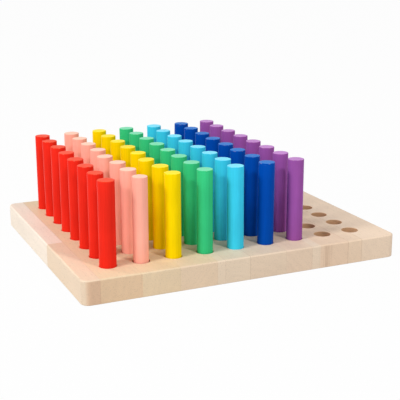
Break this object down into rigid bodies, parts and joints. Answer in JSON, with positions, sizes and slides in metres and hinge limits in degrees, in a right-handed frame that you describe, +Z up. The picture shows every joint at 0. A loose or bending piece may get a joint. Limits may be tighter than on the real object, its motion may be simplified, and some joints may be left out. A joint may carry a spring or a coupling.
{
  "type": "rainbow sorting stick set",
  "caption": "Pale wood board drilled with a grid of blind holes, with painted round sticks standing in columns of one colour each, for sorting and counting play.",
  "frame": {"origin": "middle of the board's underside", "axes": "+X along the columns from the red sticks to the empty holes, +Y from the front to the back, +Z up along the sticks"},
  "size_m": [0.253, 0.2112, 0.0805],
  "materials": {
    "board_wood": "sanded, oiled, satin",
    "red_paint": "painted, satin",
    "pink_paint": "painted, satin",
    "yellow_paint": "painted, satin",
    "green_paint": "painted, satin",
    "light_blue_paint": "painted, satin",
    "dark_blue_paint": "painted, satin",
    "purple_paint": "painted, satin"
  },
  "bodies": {
    "board": {"board_stave_1": "board_wood", "board_stave_2": "board_wood", "board_stave_3": "board_wood", "board_stave_4": "board_wood"},
    "red_stick_1": {"red_stick_1": "red_paint"},
    "red_stick_2": {"red_stick_2": "red_paint"},
    "red_stick_3": {"red_stick_3": "red_paint"},
    "red_stick_4": {"red_stick_4": "red_paint"},
    "red_stick_5": {"red_stick_5": "red_paint"},
    "red_stick_6": {"red_stick_6": "red_paint"},
    "red_stick_7": {"red_stick_7": "red_paint"},
    "red_stick_8": {"red_stick_8": "red_paint"},
    "pink_stick_1": {"pink_stick_1": "pink_paint"},
    "pink_stick_2": {"pink_stick_2": "pink_paint"},
    "pink_stick_3": {"pink_stick_3": "pink_paint"},
    "pink_stick_4": {"pink_stick_4": "pink_paint"},
    "pink_stick_5": {"pink_stick_5": "pink_paint"},
    "pink_stick_6": {"pink_stick_6": "pink_paint"},
    "pink_stick_7": {"pink_stick_7": "pink_paint"},
    "pink_stick_8": {"pink_stick_8": "pink_paint"},
    "yellow_stick_1": {"yellow_stick_1": "yellow_paint"},
    "yellow_stick_2": {"yellow_stick_2": "yellow_paint"},
    "yellow_stick_3": {"yellow_stick_3": "yellow_paint"},
    "yellow_stick_4": {"yellow_stick_4": "yellow_paint"},
    "yellow_stick_5": {"yellow_stick_5": "yellow_paint"},
    "yellow_stick_6": {"yellow_stick_6": "yellow_paint"},
    "yellow_stick_7": {"yellow_stick_7": "yellow_paint"},
    "yellow_stick_8": {"yellow_stick_8": "yellow_paint"},
    "green_stick_1": {"green_stick_1": "green_paint"},
    "green_stick_2": {"green_stick_2": "green_paint"},
    "green_stick_3": {"green_stick_3": "green_paint"},
    "green_stick_4": {"green_stick_4": "green_paint"},
    "green_stick_5": {"green_stick_5": "green_paint"},
    "green_stick_6": {"green_stick_6": "green_paint"},
    "green_stick_7": {"green_stick_7": "green_paint"},
    "green_stick_8": {"green_stick_8": "green_paint"},
    "light_blue_stick_1": {"light_blue_stick_1": "light_blue_paint"},
    "light_blue_stick_2": {"light_blue_stick_2": "light_blue_paint"},
    "light_blue_stick_3": {"light_blue_stick_3": "light_blue_paint"},
    "light_blue_stick_4": {"light_blue_stick_4": "light_blue_paint"},
    "light_blue_stick_5": {"light_blue_stick_5": "light_blue_paint"},
    "light_blue_stick_6": {"light_blue_stick_6": "light_blue_paint"},
    "light_blue_stick_7": {"light_blue_stick_7": "light_blue_paint"},
    "light_blue_stick_8": {"light_blue_stick_8": "light_blue_paint"},
    "dark_blue_stick_1": {"dark_blue_stick_1": "dark_blue_paint"},
    "dark_blue_stick_2": {"dark_blue_stick_2": "dark_blue_paint"},
    "dark_blue_stick_3": {"dark_blue_stick_3": "dark_blue_paint"},
    "dark_blue_stick_4": {"dark_blue_stick_4": "dark_blue_paint"},
    "dark_blue_stick_5": {"dark_blue_stick_5": "dark_blue_paint"},
    "dark_blue_stick_6": {"dark_blue_stick_6": "dark_blue_paint"},
    "dark_blue_stick_7": {"dark_blue_stick_7": "dark_blue_paint"},
    "dark_blue_stick_8": {"dark_blue_stick_8": "dark_blue_paint"},
    "purple_stick_1": {"purple_stick_1": "purple_paint"},
    "purple_stick_2": {"purple_stick_2": "purple_paint"},
    "purple_stick_3": {"purple_stick_3": "purple_paint"},
    "purple_stick_4": {"purple_stick_4": "purple_paint"},
    "purple_stick_5": {"purple_stick_5": "purple_paint"},
    "purple_stick_6": {"purple_stick_6": "purple_paint"},
    "purple_stick_7": {"purple_stick_7": "purple_paint"},
    "purple_stick_8": {"purple_stick_8": "purple_paint"}
  },
  "joints": [
    {"name": "red_stick_1_lift", "type": "slide", "parent": "board", "child": "red_stick_1", "axis": [0, 0, 1], "range_m": [0, 0.08]},
    {"name": "red_stick_2_lift", "type": "slide", "parent": "board", "child": "red_stick_2", "axis": [0, 0, 1], "range_m": [0, 0.08]},
    {"name": "red_stick_3_lift", "type": "slide", "parent": "board", "child": "red_stick_3", "axis": [0, 0, 1], "range_m": [0, 0.08]},
    {"name": "red_stick_4_lift", "type": "slide", "parent": "board", "child": "red_stick_4", "axis": [0, 0, 1], "range_m": [0, 0.08]},
    {"name": "red_stick_5_lift", "type": "slide", "parent": "board", "child": "red_stick_5", "axis": [0, 0, 1], "range_m": [0, 0.08]},
    {"name": "red_stick_6_lift", "type": "slide", "parent": "board", "child": "red_stick_6", "axis": [0, 0, 1], "range_m": [0, 0.08]},
    {"name": "red_stick_7_lift", "type": "slide", "parent": "board", "child": "red_stick_7", "axis": [0, 0, 1], "range_m": [0, 0.08]},
    {"name": "red_stick_8_lift", "type": "slide", "parent": "board", "child": "red_stick_8", "axis": [0, 0, 1], "range_m": [0, 0.08]},
    {"name": "pink_stick_1_lift", "type": "slide", "parent": "board", "child": "pink_stick_1", "axis": [0, 0, 1], "range_m": [0, 0.08]},
    {"name": "pink_stick_2_lift", "type": "slide", "parent": "board", "child": "pink_stick_2", "axis": [0, 0, 1], "range_m": [0, 0.08]},
    {"name": "pink_stick_3_lift", "type": "slide", "parent": "board", "child": "pink_stick_3", "axis": [0, 0, 1], "range_m": [0, 0.08]},
    {"name": "pink_stick_4_lift", "type": "slide", "parent": "board", "child": "pink_stick_4", "axis": [0, 0, 1], "range_m": [0, 0.08]},
    {"name": "pink_stick_5_lift", "type": "slide", "parent": "board", "child": "pink_stick_5", "axis": [0, 0, 1], "range_m": [0, 0.08]},
    {"name": "pink_stick_6_lift", "type": "slide", "parent": "board", "child": "pink_stick_6", "axis": [0, 0, 1], "range_m": [0, 0.08]},
    {"name": "pink_stick_7_lift", "type": "slide", "parent": "board", "child": "pink_stick_7", "axis": [0, 0, 1], "range_m": [0, 0.08]},
    {"name": "pink_stick_8_lift", "type": "slide", "parent": "board", "child": "pink_stick_8", "axis": [0, 0, 1], "range_m": [0, 0.08]},
    {"name": "yellow_stick_1_lift", "type": "slide", "parent": "board", "child": "yellow_stick_1", "axis": [0, 0, 1], "range_m": [0, 0.08]},
    {"name": "yellow_stick_2_lift", "type": "slide", "parent": "board", "child": "yellow_stick_2", "axis": [0, 0, 1], "range_m": [0, 0.08]},
    {"name": "yellow_stick_3_lift", "type": "slide", "parent": "board", "child": "yellow_stick_3", "axis": [0, 0, 1], "range_m": [0, 0.08]},
    {"name": "yellow_stick_4_lift", "type": "slide", "parent": "board", "child": "yellow_stick_4", "axis": [0, 0, 1], "range_m": [0, 0.08]},
    {"name": "yellow_stick_5_lift", "type": "slide", "parent": "board", "child": "yellow_stick_5", "axis": [0, 0, 1], "range_m": [0, 0.08]},
    {"name": "yellow_stick_6_lift", "type": "slide", "parent": "board", "child": "yellow_stick_6", "axis": [0, 0, 1], "range_m": [0, 0.08]},
    {"name": "yellow_stick_7_lift", "type": "slide", "parent": "board", "child": "yellow_stick_7", "axis": [0, 0, 1], "range_m": [0, 0.08]},
    {"name": "yellow_stick_8_lift", "type": "slide", "parent": "board", "child": "yellow_stick_8", "axis": [0, 0, 1], "range_m": [0, 0.08]},
    {"name": "green_stick_1_lift", "type": "slide", "parent": "board", "child": "green_stick_1", "axis": [0, 0, 1], "range_m": [0, 0.08]},
    {"name": "green_stick_2_lift", "type": "slide", "parent": "board", "child": "green_stick_2", "axis": [0, 0, 1], "range_m": [0, 0.08]},
    {"name": "green_stick_3_lift", "type": "slide", "parent": "board", "child": "green_stick_3", "axis": [0, 0, 1], "range_m": [0, 0.08]},
    {"name": "green_stick_4_lift", "type": "slide", "parent": "board", "child": "green_stick_4", "axis": [0, 0, 1], "range_m": [0, 0.08]},
    {"name": "green_stick_5_lift", "type": "slide", "parent": "board", "child": "green_stick_5", "axis": [0, 0, 1], "range_m": [0, 0.08]},
    {"name": "green_stick_6_lift", "type": "slide", "parent": "board", "child": "green_stick_6", "axis": [0, 0, 1], "range_m": [0, 0.08]},
    {"name": "green_stick_7_lift", "type": "slide", "parent": "board", "child": "green_stick_7", "axis": [0, 0, 1], "range_m": [0, 0.08]},
    {"name": "green_stick_8_lift", "type": "slide", "parent": "board", "child": "green_stick_8", "axis": [0, 0, 1], "range_m": [0, 0.08]},
    {"name": "light_blue_stick_1_lift", "type": "slide", "parent": "board", "child": "light_blue_stick_1", "axis": [0, 0, 1], "range_m": [0, 0.08]},
    {"name": "light_blue_stick_2_lift", "type": "slide", "parent": "board", "child": "light_blue_stick_2", "axis": [0, 0, 1], "range_m": [0, 0.08]},
    {"name": "light_blue_stick_3_lift", "type": "slide", "parent": "board", "child": "light_blue_stick_3", "axis": [0, 0, 1], "range_m": [0, 0.08]},
    {"name": "light_blue_stick_4_lift", "type": "slide", "parent": "board", "child": "light_blue_stick_4", "axis": [0, 0, 1], "range_m": [0, 0.08]},
    {"name": "light_blue_stick_5_lift", "type": "slide", "parent": "board", "child": "light_blue_stick_5", "axis": [0, 0, 1], "range_m": [0, 0.08]},
    {"name": "light_blue_stick_6_lift", "type": "slide", "parent": "board", "child": "light_blue_stick_6", "axis": [0, 0, 1], "range_m": [0, 0.08]},
    {"name": "light_blue_stick_7_lift", "type": "slide", "parent": "board", "child": "light_blue_stick_7", "axis": [0, 0, 1], "range_m": [0, 0.08]},
    {"name": "light_blue_stick_8_lift", "type": "slide", "parent": "board", "child": "light_blue_stick_8", "axis": [0, 0, 1], "range_m": [0, 0.08]},
    {"name": "dark_blue_stick_1_lift", "type": "slide", "parent": "board", "child": "dark_blue_stick_1", "axis": [0, 0, 1], "range_m": [0, 0.08]},
    {"name": "dark_blue_stick_2_lift", "type": "slide", "parent": "board", "child": "dark_blue_stick_2", "axis": [0, 0, 1], "range_m": [0, 0.08]},
    {"name": "dark_blue_stick_3_lift", "type": "slide", "parent": "board", "child": "dark_blue_stick_3", "axis": [0, 0, 1], "range_m": [0, 0.08]},
    {"name": "dark_blue_stick_4_lift", "type": "slide", "parent": "board", "child": "dark_blue_stick_4", "axis": [0, 0, 1], "range_m": [0, 0.08]},
    {"name": "dark_blue_stick_5_lift", "type": "slide", "parent": "board", "child": "dark_blue_stick_5", "axis": [0, 0, 1], "range_m": [0, 0.08]},
    {"name": "dark_blue_stick_6_lift", "type": "slide", "parent": "board", "child": "dark_blue_stick_6", "axis": [0, 0, 1], "range_m": [0, 0.08]},
    {"name": "dark_blue_stick_7_lift", "type": "slide", "parent": "board", "child": "dark_blue_stick_7", "axis": [0, 0, 1], "range_m": [0, 0.08]},
    {"name": "dark_blue_stick_8_lift", "type": "slide", "parent": "board", "child": "dark_blue_stick_8", "axis": [0, 0, 1], "range_m": [0, 0.08]},
    {"name": "purple_stick_1_lift", "type": "slide", "parent": "board", "child": "purple_stick_1", "axis": [0, 0, 1], "range_m": [0, 0.08]},
    {"name": "purple_stick_2_lift", "type": "slide", "parent": "board", "child": "purple_stick_2", "axis": [0, 0, 1], "range_m": [0, 0.08]},
    {"name": "purple_stick_3_lift", "type": "slide", "parent": "board", "child": "purple_stick_3", "axis": [0, 0, 1], "range_m": [0, 0.08]},
    {"name": "purple_stick_4_lift", "type": "slide", "parent": "board", "child": "purple_stick_4", "axis": [0, 0, 1], "range_m": [0, 0.08]},
    {"name": "purple_stick_5_lift", "type": "slide", "parent": "board", "child": "purple_stick_5", "axis": [0, 0, 1], "range_m": [0, 0.08]},
    {"name": "purple_stick_6_lift", "type": "slide", "parent": "board", "child": "purple_stick_6", "axis": [0, 0, 1], "range_m": [0, 0.08]},
    {"name": "purple_stick_7_lift", "type": "slide", "parent": "board", "child": "purple_stick_7", "axis": [0, 0, 1], "range_m": [0, 0.08]},
    {"name": "purple_stick_8_lift", "type": "slide", "parent": "board", "child": "purple_stick_8", "axis": [0, 0, 1], "range_m": [0, 0.08]}
  ]
}
